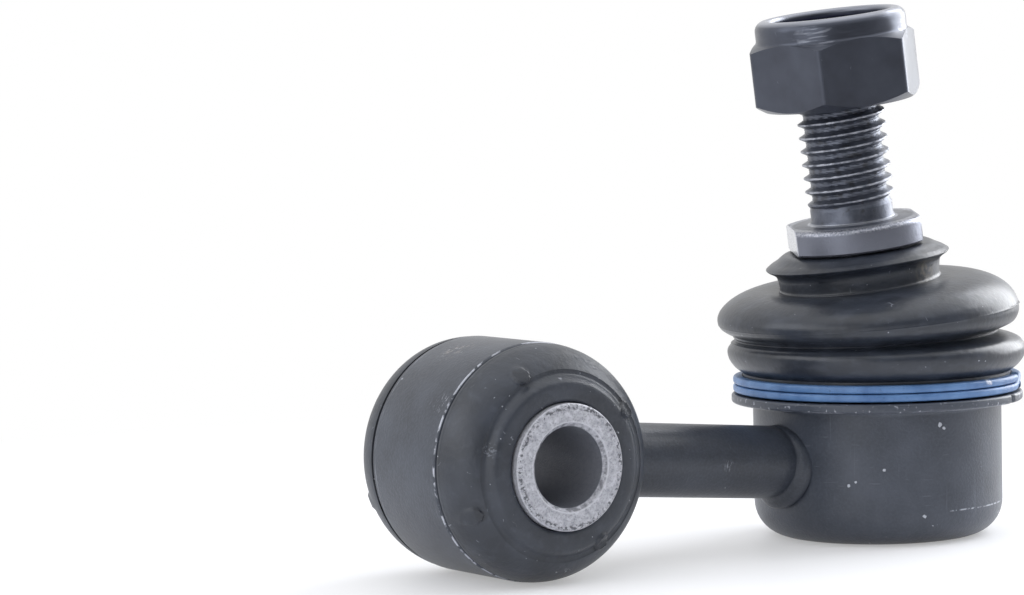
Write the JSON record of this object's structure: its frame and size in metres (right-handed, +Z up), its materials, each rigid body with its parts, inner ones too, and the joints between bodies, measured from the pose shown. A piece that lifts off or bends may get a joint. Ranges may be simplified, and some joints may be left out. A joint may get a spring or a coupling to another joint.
{
  "type": "stabilizer link",
  "caption": "Short steel rod with a rubber-bushed eye at one end and a booted ball joint with threaded stud and lock nut at the other.",
  "frame": {"origin": "centre of the ball housing's flat base", "axes": "+Z up the housing, away from its base; the rod runs towards -X; the bush bore lies along Y"},
  "size_m": [0.0792, 0.0334, 0.059],
  "materials": {
    "painted_steel": "thin satin black paint",
    "bush_rubber": "moulded, dull",
    "sleeve_steel": "sawn and speckled end faces",
    "seat_plastic": "moulded acetal",
    "bare_steel": "pressed",
    "stud_steel": "rolled and phosphated, bright on its edges",
    "boot_rubber": "moulded, satin",
    "blue_wire": "blue coating on flat wire",
    "nut_steel": "dark satin plating",
    "nylon": "dark blue nylon"
  },
  "bodies": {
    "link": {"eye_ring": "painted_steel", "bush_rubber": "bush_rubber", "rod": "painted_steel", "ball_housing": "painted_steel", "ball_seat": "seat_plastic", "closing_ring": "bare_steel", "boot_clamp_ring": "blue_wire"},
    "bush_core": {"inner_sleeve": "sleeve_steel"},
    "boot": {"dust_boot": "boot_rubber"},
    "boot_top": {"boot_top_ring": "bare_steel"},
    "stud": {"ball_stud": "stud_steel"},
    "nut_insert": {"nylon_insert": "nylon"},
    "nut": {"nut_body": "nut_steel"}
  },
  "joints": [
    {"name": "bush_twist", "type": "hinge", "parent": "link", "child": "bush_core", "pos_m": [-0.0503, 0, 0.01245], "axis": [0, 1, 0], "range_deg": [-15, 15], "stiffness_Nm_per_rad": 11},
    {"name": "stud_swivel", "type": "hinge", "parent": "link", "child": "boot", "pos_m": [0, 0, 0.0113], "axis": [0, 0, 1], "continuous": true},
    {"name": "stud_tilt", "type": "hinge", "parent": "boot", "child": "boot_top", "pos_m": [0, 0, 0.0113], "axis": [0, 1, 0], "range_deg": [-17.7, 32.3], "deforming": ["dust_boot"]},
    {"name": "stud_spin", "type": "hinge", "parent": "boot_top", "child": "stud", "pos_m": [0, 0, 0.0113], "axis": [-0.1271, 0, 0.9919], "continuous": true},
    {"name": "nut_travel", "type": "slide", "parent": "stud", "child": "nut_insert", "axis": [-0.1271, 0, 0.9919], "range_m": [-0.01282, 0.00612]},
    {"name": "nut_turn", "type": "hinge", "parent": "nut_insert", "child": "nut", "pos_m": [0, 0, 0.0113], "axis": [-0.1271, 0, 0.9919], "range_deg": [-3072, 1464]}
  ],
  "couplings": [
    {"joint": "nut_travel", "follows": "nut_turn", "m_per_rad": 0.00023873}
  ]
}
